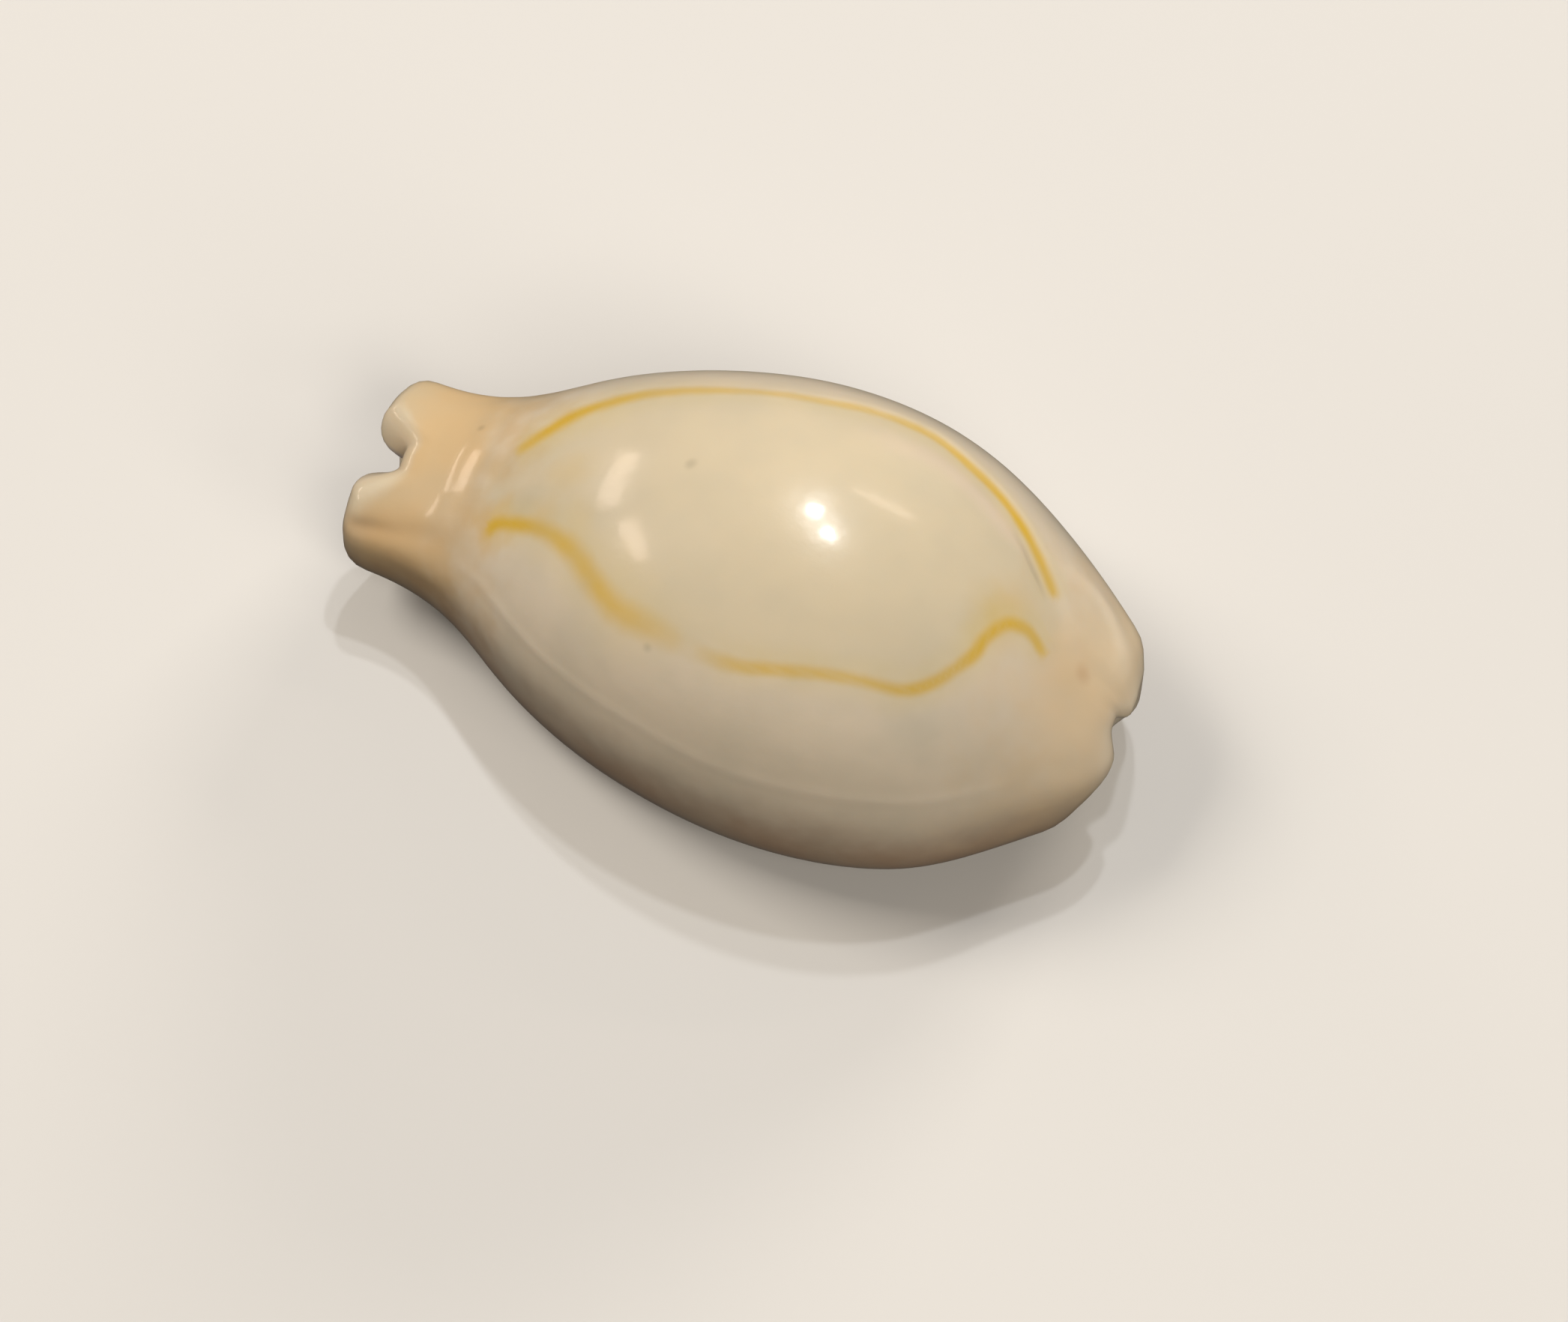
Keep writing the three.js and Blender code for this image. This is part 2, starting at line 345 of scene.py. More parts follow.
def smooth_path(points, closed):
    """A smooth curve (Catmull-Rom) through points of any number of values."""
    p = np.asarray(points, dtype=float)
    if closed:
        before, after, beyond = (np.roll(p, shift, axis=0) for shift in (1, -1, -2))
    else:
        before = np.vstack([p[:1], p[:-2]])
        p, after, beyond = p[:-1], p[1:], np.vstack([p[2:], p[-1:]])
    t = np.linspace(0, 1, STEPS_PER_POINT, endpoint=False)[None, :, None]
    a, b, c, d = before[:, None], p[:, None], after[:, None], beyond[:, None]
    curve = 2 * b + (c - a) * t + (2 * a - 5 * b + 4 * c - d) * t**2
    curve = (curve + (3 * b - a - 3 * c + d) * t**3) / 2
    return curve.reshape(-1, p.shape[1])


def on_back(x, degrees):
    """The point of the outer surface at x and at an angle from the crest, in the final frame."""
    centre = along(GIRTH_HEIGHT, x)
    above, below = along(CREST_HEIGHT, x) - centre, centre - along(BASE_HEIGHT, x)
    half_width = along(HALF_WIDTH, x)
    y, z = section(np.radians(degrees), half_width, above, below, BACK_FULLNESS, BASE_FULLNESS)
    return np.stack([x, along(MIDLINE, x) + y, centre + z], axis=-1) - middle


x = rolled[:, 0]
places = rolled - middle
degrees = np.degrees(
    np.arctan2(rolled[:, 1] - along(MIDLINE, x), rolled[:, 2] - along(GIRTH_HEIGHT, x))
)
print("angles round the shell run from", degrees.min().round(1), "to", degrees.max().round(1))

# %% [markdown]
# ## The gold ring
# The ring's colour is uneven, as in life: strong where it hooks round the posterior end and at the
# front, faint over the outer-lip side, and almost broken half way along the columellar side. It is
# open at both ends.

# %% The ring's path
RING = [
    # the outer-lip side, front to back
    (-7.4, 1, 0.0, 0.2),
    (-7.15, 5, 0.8, 0.24),
    (-6.6, 15, 1.0, 0.32),
    (-5.9, 23.5, 1.0, 0.33),
    (-4.6, 29, 0.9, 0.3),
    (-3.1, 31, 0.75, 0.26),
    (-1.3, 31.8, 0.65, 0.21),
    (1.0, 34, 0.6, 0.2),
    (2.6, 37.8, 0.65, 0.2),
    (4.35, 41, 0.75, 0.19),
    (5.6, 40, 0.85, 0.19),
    (6.8, 39.4, 0.95, 0.18),
    (7.7, 36.6, 1.0, 0.18),
    (8.5, 31.4, 1.0, 0.19),
    (8.95, 27, 1.0, 0.18),
    (9.15, 24, 0.0, 0.16),
    # open across the posterior end
    (9.7, 14, 0.0, 0.15),
    (9.8, 2, 0.0, 0.15),
    # the columellar side, back to front
    (9.5, -6, 0.0, 0.16),
    (9.3, -3, 0.9, 0.17),
    (8.85, 1.2, 1.0, 0.19),
    (8.3, -2, 1.0, 0.2),
    (7.95, -11, 1.0, 0.2),
    (7.75, -21, 0.9, 0.19),
    (7.1, -32.5, 0.85, 0.18),
    (6.4, -37.5, 1.0, 0.18),
    (5.3, -38.5, 0.8, 0.17),
    (4.0, -40.3, 0.7, 0.17),
    (2.3, -44, 0.65, 0.18),
    (1.5, -45, 0.45, 0.2),
    (0.8, -45.2, 0.22, 0.22),
    (0.3, -45.1, 0.08, 0.25),
    (-0.2, -44.9, 0.3, 0.3),
    (-0.9, -44.6, 0.5, 0.34),
    (-1.75, -44, 0.65, 0.36),
    (-2.6, -42, 0.75, 0.36),
    (-3.7, -36, 0.8, 0.33),
    (-4.7, -32.5, 0.9, 0.29),
    (-5.6, -32.4, 1.0, 0.24),
    (-6.7, -36.5, 1.0, 0.22),
    (-7.05, -41, 0.9, 0.22),
    (-7.3, -43.5, 0.0, 0.2),
    # open across the anterior end
    (-7.9, -30, 0.0, 0.2),
    (-7.8, -10, 0.0, 0.18),
]
ring = smooth_path(RING, closed=True)
ring_length = np.linalg.norm(np.diff(on_back(ring[:, 0], ring[:, 1]), axis=0), axis=1).sum()
print("the ring is", round(float(ring_length), 1), "mm round")

# %% [markdown]
# ## The lesser lines
# The columellar margin has a low ridge, with a painted highlight along it. The outer lip's lobe has
# a rounded edge where it turns down to the posterior step, with a painted highlight along it.
# Inside the ring, near that end, a thin crease with painted grey shade in it runs beside a pinkish
# band. At the front, a crease splits the nearer lobe, with brownish painted shade along it, and the
# rim of the notch is rolled into a pale strip that follows the rim, so its points come from the
# rim's own function.

# %% The paths of the lesser lines
NOTCH_ROLL = [
    (float(anterior_end(a)) + 0.2, a, strength, half_width)
    for a, strength, half_width in (
        (-62, 0.6, 0.36),
        (-52, 1.0, 0.4),
        (-40, 1.0, 0.3),
        (-26, 1.0, 0.24),
        (-11, 1.0, 0.22),
        (6, 1.0, 0.22),
        (24, 1.0, 0.24),
        (42, 0.9, 0.26),
        (60, 0.6, 0.26),
        (80, 0.3, 0.26),
    )
]
LINES = {
    "ring": {"points": RING, "closed": True, "push": 0.0},
    "ridge": {
        "points": [
            (-8.3, -64, 0.0, 0.22),
            (-6.7, -64, 0.7, 0.2),
            (-5.0, -67.5, 0.9, 0.17),
            (-2.9, -70, 1.0, 0.15),
            (-0.5, -71, 1.0, 0.15),
            (2.0, -72.5, 1.0, 0.15),
            (4.9, -71.5, 1.0, 0.15),
            (7.8, -69.5, 0.9, 0.16),
            (9.4, -67.5, 0.4, 0.2),
            (10.3, -64, 0.0, 0.22),
        ],
        "push": 0.022,
    },
    "lobe_edge": {
        "points": [
            (8.6, 37, 0.0, 0.34),
            (9.2, 46, 0.7, 0.34),
            (10.0, 54, 1.0, 0.34),
            (10.6, 53, 1.0, 0.34),
            (11.0, 48, 1.0, 0.34),
            (11.3, 36, 0.6, 0.34),
            (11.3, 20, 0.0, 0.34),
        ],
        "push": 0.04,
    },
    "grey_crease": {
        "points": [
            (7.3, 32, 0.0, 0.16),
            (7.75, 30.5, 0.6, 0.15),
            (8.1, 28, 1.0, 0.13),
            (8.45, 25.5, 1.0, 0.12),
            (8.7, 23.3, 0.6, 0.12),
            (8.95, 20.5, 0.0, 0.12),
        ],
        "push": -0.03,
    },
    "pink_band": {
        "points": [
            (2.2, 27, 0.0, 0.45),
            (3.8, 29, 0.6, 0.45),
            (5.0, 31.5, 0.9, 0.42),
            (6.2, 31.5, 1.0, 0.4),
            (7.2, 30.5, 1.0, 0.34),
            (7.9, 29.5, 0.8, 0.25),
            (8.4, 27.3, 0.3, 0.2),
        ],
        "push": 0.02,
    },
    "lobe_crease": {
        "points": [
            (-11.7, -72, 1.0, 0.22),
            (-11.0, -71, 1.0, 0.24),
            (-10.0, -68.3, 0.6, 0.28),
            (-8.7, -61, 0.3, 0.34),
            (-7.6, -55, 0.0, 0.4),
        ],
        "push": -0.1,
    },
    "notch_roll": {"points": NOTCH_ROLL, "push": 0.03},
}
print(len(LINES), "lines, with", sum(len(line["points"]) for line in LINES.values()), "points")

# %% [markdown]
# A marking painted from a distance stays crisp at any zoom, and one distance can drive both relief
# and colour. A k-d tree quickly finds the nearest point of a path to each vertex. The distance is
# divided by the line's half width there, so that 1 always means the line's edge.

# %% Measuring from the lines
for name, line in LINES.items():
    path = smooth_path(line["points"], line.get("closed", False))
    path_places = on_back(path[:, 0], path[:, 1])
    finder = kdtree.KDTree(len(path_places))
    for i, place in enumerate(path_places):
        finder.insert(place, i)
    finder.balance()
    hits = [finder.find(place) for place in places]
    nearest = path[[hit[1] for hit in hits]]
    line["gap"] = np.array([hit[2] for hit in hits])
    line["widths"] = line["gap"] / nearest[:, 3]
    line["strength"] = np.clip(nearest[:, 2], 0, 1)
    print(name, "passes within its own half width of", int((line["widths"] < 1).sum()), "vertices")

# %% [markdown]
# The ring also has an inside and an outside. The colour and the relief change from one to the
# other, so we count how often the closed path is crossed on the way from each vertex to the lip.

# %% Inside or outside the ring
inside = np.zeros(len(x), dtype=bool)
for (x_a, degrees_a), (x_b, degrees_b) in zip(ring[:, :2], np.roll(ring, -1, axis=0)[:, :2]):
    spans = (x_a > x) != (x_b > x)
    slope = (degrees_b - degrees_a) / (x_b - x_a) if x_a != x_b else 0
    inside ^= spans & (degrees < degrees_a + slope * (x - x_a))
ring_mm = np.where(inside, -LINES["ring"]["gap"], LINES["ring"]["gap"])
print(int(inside.sum()), "vertices lie inside the ring")

# %% [markdown]
# ## Relief
# Outside the ring the mantle laid down extra enamel, the callus. On the outer-lip side the surface
# steps up a little there, towards the posterior end. The neck has faint folds, which break up the
# reflections on it. Each line adds its own low ridge or crease. All are small pushes along the
# vertex normals, faded out towards the base so that the shell still lies flat. Each pair of values
# below says between which values of a measure something comes or goes.

# %% Raising the callus, the folds and the lines
CALLUS = 0.08
CALLUS_FROM_RING = (-0.15, 0.45)
CALLUS_ROUND = (5, 25)
CALLUS_ALONG = (-2, 5)
FOLD_HEIGHT = 0.012
FOLD_SPACING = 0.9
FOLDS_AT, FOLDS_REACH = -8.6, 1.2
FOLDS_REACH_DEGREES = 60
OUTSIDE_ENDS = (0.0, 0.15)
BASE_STARTS = (95, 125)


def hump(widths):
    """A smooth bump, 1 in the middle and nearly gone at 2 widths."""
    return np.exp(-(widths**2))


on_outside = 1 - ease(*OUTSIDE_ENDS, inward)
above_base = 1 - ease(*BASE_STARTS, np.abs(degrees))
callus = CALLUS * ease(*CALLUS_FROM_RING, ring_mm)
callus *= ease(*CALLUS_ROUND, degrees) * ease(*CALLUS_ALONG, x)
folds = FOLD_HEIGHT * np.sin(2 * np.pi * x / FOLD_SPACING)
folds *= hump((x - FOLDS_AT) / FOLDS_REACH) * hump(degrees / FOLDS_REACH_DEGREES)
push = callus + folds
for line in LINES.values():
    push += line["push"] * line["strength"] * hump(line["widths"])
push *= on_outside * above_base

for vertex, amount in zip(slab.verts, push):
    vertex.co += vertex.normal * float(amount)
slab.normal_update()
print("relief from", round(push.min(), 3), "to", round(push.max(), 3), "mm")

# %% [markdown]
# ## From bmesh to object
# The finished mesh is scaled to metres and keeps its measurements as named attributes, one number a
# vertex: the shader will read them by name, and they travel with the mesh wherever it goes. The
# fawn of the margins is partly their own colour and partly painted shade, darkest low down where
# the shell turns towards the ground. It climbs higher on the shaded columellar side than on the
# outer lip, so its height is measured from a plane that rises towards the columella.

# %% The shell object
# The fawn and its painted shade climb higher on the columellar side.
FAWN_AND_SHADE_TILT = 0.2
for vertex in slab.verts:
    vertex.co *= MM
for face in slab.faces:
    face.smooth = True
if slab.calc_volume(signed=True) < 0:
    bmesh.ops.reverse_faces(slab, faces=slab.faces)
shell_mesh = bpy.data.meshes.new("cowrie_shell")
slab.to_mesh(shell_mesh)
slab.free()

measures = {
    "along": x,
    "fawn_height": places[:, 2] + FAWN_AND_SHADE_TILT * places[:, 1],
    "round": np.abs(degrees),
    "inward": inward,
    "ring_mm": ring_mm,
}
for name, line in LINES.items():
    measures[name + "_widths"] = line["widths"]
    measures[name + "_strength"] = line["strength"]
for name, values in measures.items():
    layer = shell_mesh.attributes.new(name, "FLOAT", "POINT")
    layer.data.foreach_set("value", values.astype(np.float32))
shell = bpy.data.objects.new("cowrie_shell", shell_mesh)
bpy.context.scene.collection.objects.link(shell)
triangles = sum(len(polygon.vertices) - 2 for polygon in shell_mesh.polygons)
print("the shell has", triangles, "triangles and", len(measures), "measures")

# %% [markdown]
# ## A helper for shader nodes
# A node needs settings, input values and links. One function does all three: what follows `inputs`
# sets the node's own properties, and each of `inputs` is either a value or a socket to link.

# %% Adding a node


def node(tree, kind, inputs=None, **settings):
    """Adds a node, sets its properties, and fills or links its inputs by name or number."""
    made = tree.nodes.new(kind)
    for name, value in settings.items():
        setattr(made, name, value)
    for key, value in (inputs or {}).items():
        if isinstance(value, bpy.types.NodeSocket):
            tree.links.new(value, made.inputs[key])
        else:
            made.inputs[key].default_value = value
    return made


# %% [markdown]
# ## Shell enamel
# A cowrie's surface is its own enamel: layers of aragonite crystals that the living mantle laid
# down and polished. Aragonite's refractive index is 1.53 to 1.69, so it reflects a little more than
# plastic. To the eye it is a sharp gloss on top of a softer, slightly see-through body, like fine
# porcelain. So the material has a clear coat over a rougher base with a little scattering in it.
# Red light gets farther into it than blue before it comes out again.

# %% The enamel material
enamel = bpy.data.materials.new("cowrie_enamel")
enamel.use_nodes = True
tree = enamel.node_tree
tree.nodes.clear()
surface = node(
    tree,
    "ShaderNodeBsdfPrincipled",
    {
        "IOR": 1.53,
        "Coat Weight": 0.6,
        "Coat Roughness": 0.12,
        "Coat IOR": 1.6,
        "Subsurface Weight": 0.15,
        "Subsurface Radius": (1.0, 0.7, 0.45),
        "Subsurface Scale": 0.6 * MM,
    },
)
node(tree, "ShaderNodeOutputMaterial", {"Surface": surface.outputs["BSDF"]})
base_index = surface.inputs["IOR"].default_value
print("the enamel's base has a refractive index of", round(base_index, 2))

# %% [markdown]
# Three noises make the enamel uneven. Broad clouds, about 2.5 mm across, are the greyer older layer
# showing through thin enamel. Finer ones, about 1 mm across, make the edges of the coloured areas
# wander, as pigment does, and also swell the surface a little. The finest is its grain. Each is
# spread to run from about -1 to 1. Object coordinates are in metres, so a Mapping node turns them
# to millimetres first.

# %% Noise at the scale of the shell
CLOUD_SIZE = 2.5
WANDER_SIZE = 1.1
GRAIN_SIZE = 0.12
NOISE_DETAIL = 2.0
NOISE_LOW, NOISE_HIGH = 0.3, 0.7
here = node(tree, "ShaderNodeTexCoord").outputs["Object"]
per_mm = node(
    tree, "ShaderNodeMapping", {"Vector": here, "Scale": (1 / MM,) * 3}
).outputs["Vector"]
noises = {}
for name, feature_mm in (("cloud", CLOUD_SIZE), ("wander", WANDER_SIZE), ("grain", GRAIN_SIZE)):
    noise = node(
        tree,
        "ShaderNodeTexNoise",
        {"Vector": per_mm, "Scale": 1 / feature_mm, "Detail": NOISE_DETAIL},
    ).outputs["Fac"]
    noises[name] = node(
        tree,
        "ShaderNodeMapRange",
        {"Value": noise, "From Min": NOISE_LOW, "From Max": NOISE_HIGH, "To Min": -1.0},
        clamp=False,
    ).outputs["Result"]
print("noise features, in mm:", CLOUD_SIZE, WANDER_SIZE, GRAIN_SIZE)

# %% [markdown]
# ## Broad areas of colour
# The shell is cream all over, and the other colours lie over it in thin layers, as the enamel does.
# Peach stains both ends, the margins turn fawn low down, in a colour that is partly their own and
# partly painted shade, the newest enamel round the aperture is whiter, and the chamber is a pale
# lilac grey. One function lays one colour over what is already there. It starts and is whole at two
# values of one measure, and its edge wanders about as far as it is told.

# %% Laying one colour over another
MIX_SHARE, MIX_UNDER, MIX_OVER, MIXED = 0, 6, 7, 2


def lay_over(under, measure, wander, starts, full, most, hex_colour, strength=1.0):
    """The colour under, covered by another where the measure goes from starts to full."""
    uneven = node(
        tree,
        "ShaderNodeMath",
        {0: noises["wander"], 1: wander, 2: measure},
        operation="MULTIPLY_ADD",
    ).outputs["Value"]
    spread = node(
        tree,
        "ShaderNodeMapRange",
        {"Value": uneven, "From Min": starts, "From Max": full, "To Max": most},
        interpolation_type="SMOOTHSTEP",
    ).outputs["Result"]
    cover = node(
        tree, "ShaderNodeMath", {0: spread, 1: strength}, operation="MULTIPLY"
    ).outputs["Value"]
    return node(
        tree,
        "ShaderNodeMix",
        {MIX_SHARE: cover, MIX_UNDER: under, MIX_OVER: paint(hex_colour)},
        data_type="RGBA",
    ).outputs[MIXED]


CREAM = "#dfd3bf"
colour = paint(CREAM)
print("the shell is", CREAM, "all over to start with")

# %% [markdown]
# The measures that the mesh carries say where each layer goes.

# %% Layers of enamel colour
LAYERS = [
    # measure, starts, whole, edge wanders by, most of this colour, the colour
    ("ring_mm", 0.4, -0.6, 0.2, 0.6, "#d3c7a8"),
    ("along", -5.6, -9.2, 0.7, 0.75, "#cdac76"),
    ("along", -10.4, -11.7, 0.3, 0.45, "#c9bda2"),
    ("along", 7.6, 11.4, 0.9, 0.4, "#dfbe88"),
    # fawn margins, partly their own colour and partly painted shade on the lower, columellar side
    ("fawn_height", 3.7, 0.5, 0.3, 0.7, "#956a42"),
    ("round", 118, 138, 4.0, 0.85, "#e2d8c5"),
    ("inward", 0.03, 0.3, 0.0, 0.6, "#e2d6c2"),
    ("inward", 0.75, 1.0, 0.0, 1.0, "#c6bfc0"),
]
for measure, starts, full, wander, most, hex_colour in LAYERS:
    read = node(tree, "ShaderNodeAttribute", attribute_name=measure).outputs["Fac"]
    colour = lay_over(colour, read, wander, starts, full, most, hex_colour)
print(len(LAYERS), "layers over", CREAM)

# %% [markdown]
# Blotches and freckles are places where pigment or the older layer shows: a little more yellow
# near the ring, grey clouds, the brown spot where the old spire lies under the enamel, and three
# small freckles. Each is a distance from one point on the surface.

# %% Blotches and freckles
PATCH_WANDER = 0.15
PATCHES = [
    # along, angle, radius in mm, most of this colour, the colour
    (-5.1, -9, 1.3, 0.3, "#dcbf78"),
    (-4.3, -22, 1.0, 0.2, "#dcbf78"),
    (-6.1, -24, 1.0, 0.3, "#b3ac95"),
    (-7.0, -40, 1.2, 0.5, "#dcb35e"),
    (-5.5, -27, 0.9, 0.35, "#dcb35e"),
    (7.9, -3, 1.3, 0.5, "#cdb260"),
    (8.3, 9, 1.2, 0.35, "#d8bb80"),
    (7.1, -47, 1.5, 0.3, "#b2b1a2"),
    (3.8, 4, 2.6, 0.12, "#b4b09a"),
    (10.3, -8, 2.2, 0.3, "#d8b070"),
    (10.5, 0.4, 0.45, 0.35, "#b98750"),
    (-1.6, 0.4, 0.27, 0.28, "#8a8066"),
    (-0.85, -49.3, 0.24, 0.28, "#7d7a66"),
    (-8.9, 29, 0.2, 0.4, "#9c8a6c"),
]
for along_mm, angle, radius, most, hex_colour in PATCHES:
    centre = tuple(on_back(np.array(along_mm), np.array(angle)))
    away = node(
        tree, "ShaderNodeVectorMath", {0: per_mm, 1: centre}, operation="DISTANCE"
    ).outputs["Value"]
    colour = lay_over(colour, away, PATCH_WANDER * radius, radius, 0.0, most, hex_colour)
print(len(PATCHES), "patches")

# %% [markdown]
# ## Painting the lines
# Last come the lines. The ring is painted twice: once wide and faint, for the stain that spreads
# from it, and once narrow and strong. "Reach" is how far from its middle a line's colour fades to
# nothing, in half widths.

# %% Stains and lines
STROKES = [
    # line, reach, wanders by, most of this colour, the colour
    ("pink_band", 1.8, 0.2, 0.45, "#e6d2c4"),
    # painted grey shade in the thin crease beside the ring
    ("grey_crease", 1.6, 0.2, 0.45, "#988c80"),
    # a painted highlight along the columellar margin's low ridge
    ("ridge", 1.8, 0.2, 0.25, "#ece0cf"),
    # a painted highlight along the rounded edge of the outer lip's lobe
    ("lobe_edge", 1.8, 0.2, 0.5, "#ecddc6"),
    # brownish painted shade along the crease of the nearer anterior lobe
    ("lobe_crease", 3.6, 0.1, 0.3, "#a0713f"),
    ("notch_roll", 1.7, 0.1, 0.75, "#d8ceb9"),
    ("ring", 5.5, 0.5, 0.3, "#dec878"),
    ("ring", 1.9, 0.15, 1.0, "#d9b440"),
]
for line, reach, wander, most, hex_colour in STROKES:
    widths = node(tree, "ShaderNodeAttribute", attribute_name=line + "_widths").outputs["Fac"]
    strength = node(tree, "ShaderNodeAttribute", attribute_name=line + "_strength").outputs["Fac"]
    colour = lay_over(colour, widths, wander, reach, 0.0, most, hex_colour, strength)
print(len(STROKES), "strokes")

# %% [markdown]
# ## Clouds and polish
# The greyer older layer shows through in broad clouds. The polish isn't perfect either: a very low
# swell bends the reflections a little, and a fine grain breaks up the softer ones. The base layer
# is a little rougher near the ground than on the back. Its roughness changes smoothly with height,
# so that no edge shows in the reflections.

# %% Finishing the enamel
CLOUD_COLOUR = "#bdb9a8"
CLOUD_STARTS, CLOUD_WHOLE, CLOUD_MOST = -0.8, 1.2, 0.25
LOW_HEIGHT, LOW_ROUGHNESS = 1.0, 0.36
HIGH_HEIGHT, HIGH_ROUGHNESS = 7.0, 0.28
SWELL_HEIGHT, SWELL_STRENGTH = 0.012, 0.25
GRAIN_HEIGHT, GRAIN_STRENGTH = 0.004, 0.1
cloudy = node(
    tree,
    "ShaderNodeMapRange",
    {
        "Value": noises["cloud"],
        "From Min": CLOUD_STARTS,
        "From Max": CLOUD_WHOLE,
        "To Max": CLOUD_MOST,
    },
    interpolation_type="SMOOTHSTEP",
).outputs["Result"]
clouded = node(
    tree,
    "ShaderNodeMix",
    {MIX_SHARE: cloudy, MIX_UNDER: colour, MIX_OVER: paint(CLOUD_COLOUR)},
    data_type="RGBA",
).outputs[MIXED]
above_ground = node(tree, "ShaderNodeSeparateXYZ", {0: here}).outputs["Z"]
polish = node(
    tree,
    "ShaderNodeMapRange",
    {
        "Value": above_ground,
        "From Min": LOW_HEIGHT * MM,
        "From Max": HIGH_HEIGHT * MM,
        "To Min": LOW_ROUGHNESS,
        "To Max": HIGH_ROUGHNESS,
    },
    interpolation_type="SMOOTHSTEP",
).outputs["Result"]
swell = node(
    tree,
    "ShaderNodeBump",
    {"Height": noises["wander"], "Strength": SWELL_STRENGTH, "Distance": SWELL_HEIGHT * MM},
).outputs["Normal"]
grain = node(
    tree,
    "ShaderNodeBump",
    {
        "Height": noises["grain"],
        "Strength": GRAIN_STRENGTH,
        "Distance": GRAIN_HEIGHT * MM,
        "Normal": swell,
    },
).outputs["Normal"]
for value, socket in (
    (clouded, "Base Color"),
    (polish, "Roughness"),
    (grain, "Normal"),
    (swell, "Coat Normal"),
):
    tree.links.new(value, surface.inputs[socket])
shell_mesh.materials.append(enamel)
print("the enamel uses", len(tree.nodes), "nodes")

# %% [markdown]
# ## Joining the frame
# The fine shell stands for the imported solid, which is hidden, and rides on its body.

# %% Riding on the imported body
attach(shell, "root")
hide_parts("shell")

# %% [markdown]
# ## The floor
# A pale matt card shows the form without colouring it. A glossy shell mirrors whatever is round it,
# and a card this close would light its lower side and hide its shape. A photographer would hold
# black cards there. Here the floor is simply kept out of the light that the shell gathers.

# %% A pale matt floor
FLOOR_HALF = 1.2
floor_shape = bmesh.new()
bmesh.ops.create_grid(floor_shape, x_segments=1, y_segments=1, size=FLOOR_HALF)
floor_mesh = bpy.data.meshes.new("floor")
floor_shape.to_mesh(floor_mesh)
floor_shape.free()
floor = bpy.data.objects.new("floor", floor_mesh)
bpy.context.scene.collection.objects.link(floor)
floor.visible_diffuse = False
floor.visible_glossy = False
card = bpy.data.materials.new("matt_card")
card.use_nodes = True
card.node_tree.nodes.clear()
card_surface = node(
    card.node_tree, "ShaderNodeBsdfPrincipled", {"Base Color": paint("#d9dadb"), "Roughness": 0.8}
)
node(card.node_tree, "ShaderNodeOutputMaterial", {"Surface": card_surface.outputs["BSDF"]})
floor_mesh.materials.append(card)
print("the floor is", 2 * FLOOR_HALF, "m across")

# %% [markdown]
# ## The light
# Three large softboxes make the soft light: one behind, one above the anterior end and one above
# the near side. Two weaker ones lift the posterior end and the underside of the neck. Their own
# reflections would lie on the dome as hard rectangles, so they are kept out of the gloss. Small
# lamps then put in the highlights that tell the eye that the enamel is polished: a close pair of
# bright ones, a faint bar beside them, and two tall panes like a distant window.

# %% The lamps
SHELL_MIDDLE = Vector((0.0, 0.0, 5.0)) * MM
LAMP_DISTANCE = 400
WARM, ROSY, WHITE = "#fff3e2", "#ffe6d2", "#ffffff"
LAMPS = [
    # name, direction from the shell, width and height in mm, turned by, watts, colour, mirrored
    ("softbox_low", (-0.72, -0.64, 0.27), 120, 90, 0, 0.07, WARM, False),
    ("softbox_right", (0.82, -0.35, 0.45), 120, 120, 0, 0.26, WARM, False),
    ("softbox_behind", (0.2, 0.93, 0.31), 160, 120, 0, 0.88, WARM, False),
    ("softbox_left", (-0.66, 0.02, 0.75), 160, 160, 0, 0.78, WARM, False),
    ("softbox_near", (0.48, -0.5, 0.72), 160, 160, 0, 0.57, WARM, False),
    ("lamp_a", (-0.1, 0.44, 0.89), 17, 17, 0, 0.22, WHITE, True),
    ("lamp_b", (0.05, 0.33, 0.94), 17, 17, 0, 0.22, WHITE, True),
    ("faint_bar", (0.24, 0.67, 0.7), 150, 22, 25, 0.045, ROSY, True),
    ("pane_upper", (-0.86, 0.36, 0.37), 150, 28, 20, 0.07, ROSY, True),
    ("pane_lower", (-0.83, -0.06, 0.56), 130, 30, 15, 0.07, ROSY, True),
]
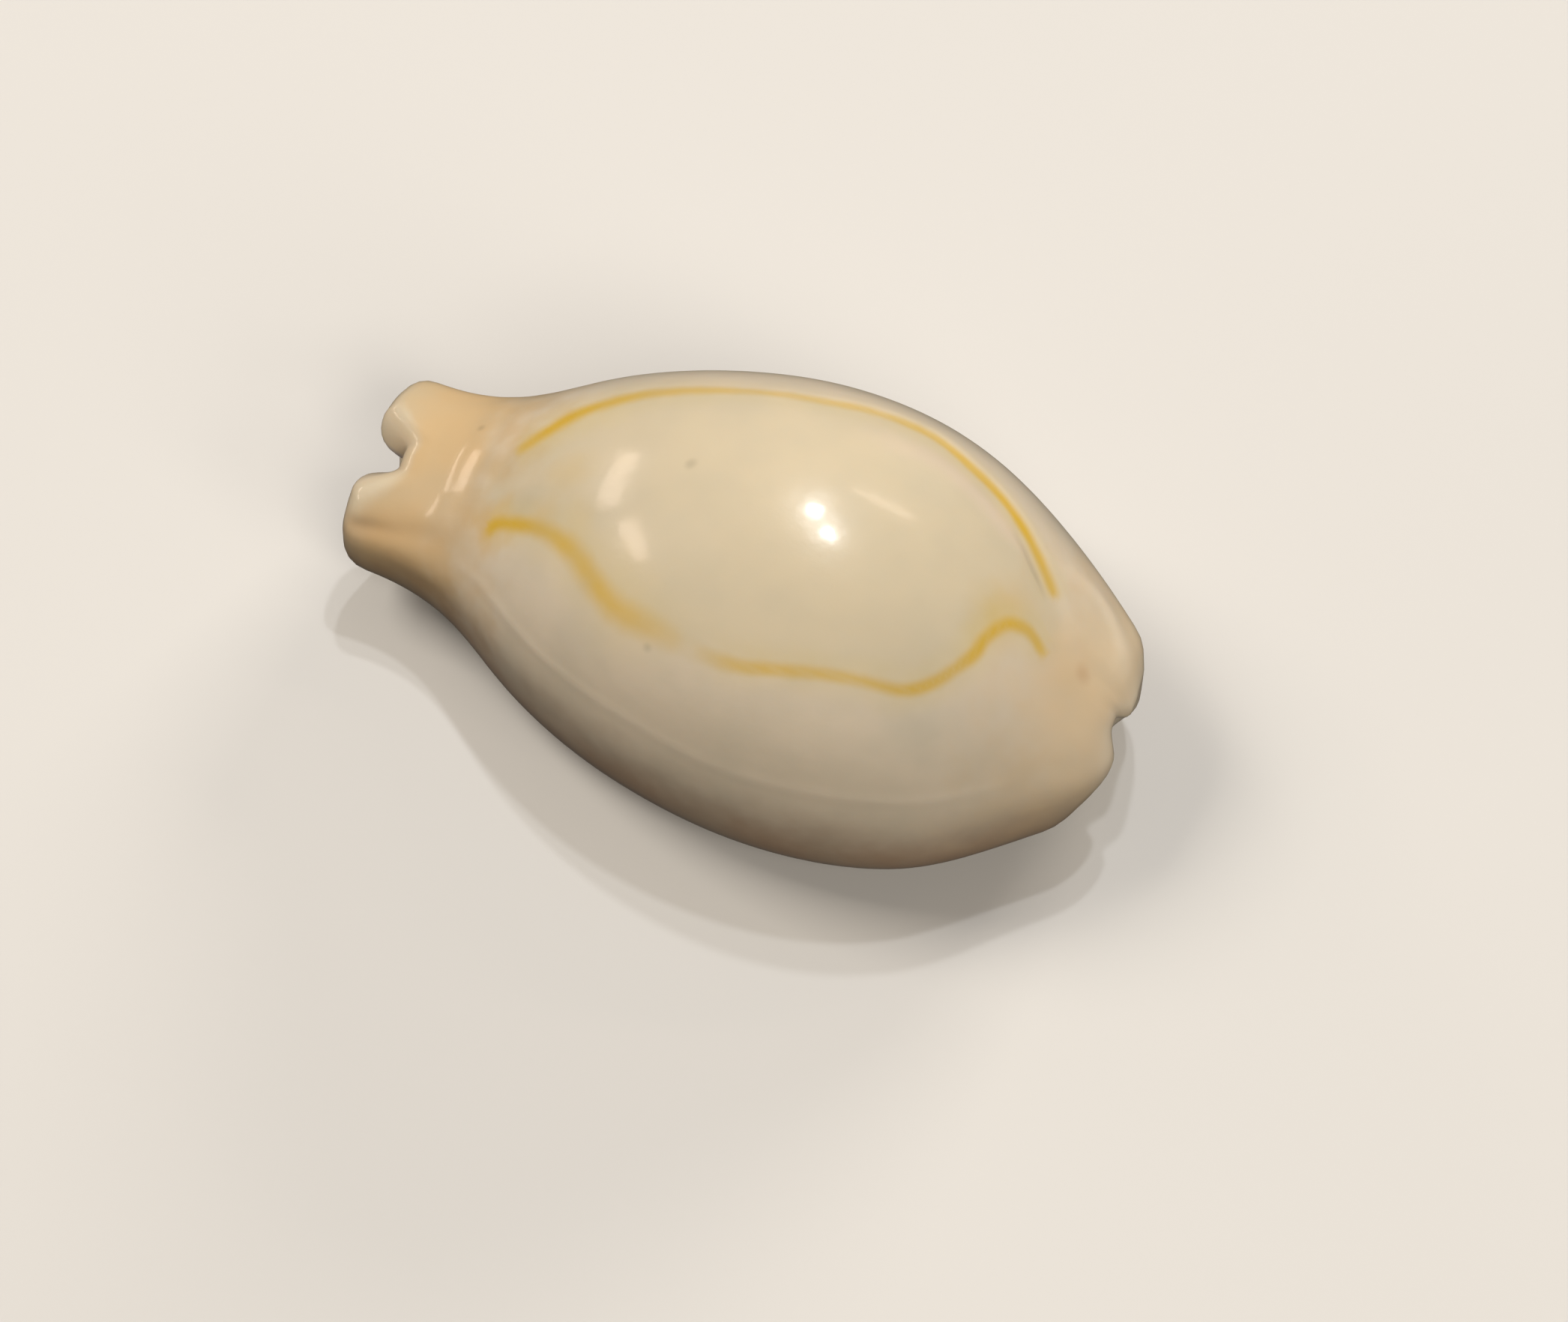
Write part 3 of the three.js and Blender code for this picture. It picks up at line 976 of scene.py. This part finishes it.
for name, direction, width, height, turn, watts, colour_name, mirrored in LAMPS:
    data = bpy.data.lights.new(name, "AREA")
    data.shape = "RECTANGLE"
    data.size, data.size_y = width * MM, height * MM
    data.energy = watts
    data.color = paint(colour_name)[:3]
    lamp = bpy.data.objects.new(name, data)
    towards = Vector(direction).normalized()
    lamp.location = SHELL_MIDDLE + towards * LAMP_DISTANCE * MM
    facing = towards.to_track_quat("Z", "Y")
    lamp.rotation_euler = (facing @ Quaternion((0, 0, 1), math.radians(turn))).to_euler()
    lamp.visible_glossy = mirrored
    bpy.context.scene.collection.objects.link(lamp)
print(len(LAMPS), "lamps")

# %% [markdown]
# The room itself gives very little light, from every side, so that the shell's lower side falls
# into shade as it would in a dim room.

# %% The room
ROOM_STRENGTH = 0.07
world = bpy.data.worlds.new("dim_room")
bpy.context.scene.world = world
world.use_nodes = True
room = world.node_tree.nodes["Background"]
room.inputs["Color"].default_value = paint("#fff8ee")
room.inputs["Strength"].default_value = ROOM_STRENGTH
bpy.context.scene.view_settings.view_transform = "Standard"
print("the room's strength is", ROOM_STRENGTH)

# %% [markdown]
# ## The camera
# The camera looks down at the shell from the columellar side, a little towards the posterior end. A
# long lens keeps the perspective slight.

# %% Placing the camera
AZIMUTH, ELEVATION = math.radians(22), math.radians(58)
LENS = 135
CAMERA_DISTANCE = 171 * MM
NEAREST_SEEN = 5 * MM
SHIFT_ACROSS, SHIFT_UP = 0.026, -0.040
AIM = Vector((0.25, -0.4, 4.1)) * MM
back = Vector(
    (
        math.sin(AZIMUTH) * math.cos(ELEVATION),
        -math.cos(AZIMUTH) * math.cos(ELEVATION),
        math.sin(ELEVATION),
    )
)
camera_data = bpy.data.cameras.new("camera")
camera_data.lens = LENS
camera_data.clip_start = NEAREST_SEEN
camera_data.shift_x = SHIFT_ACROSS
camera_data.shift_y = SHIFT_UP
camera = bpy.data.objects.new("camera", camera_data)
camera.location = AIM + back * CAMERA_DISTANCE
camera.rotation_euler = back.to_track_quat("Z", "Y").to_euler()
bpy.context.scene.collection.objects.link(camera)
bpy.context.scene.camera = camera
print("the camera is", round(camera.location.length * 1000), "mm from the origin")
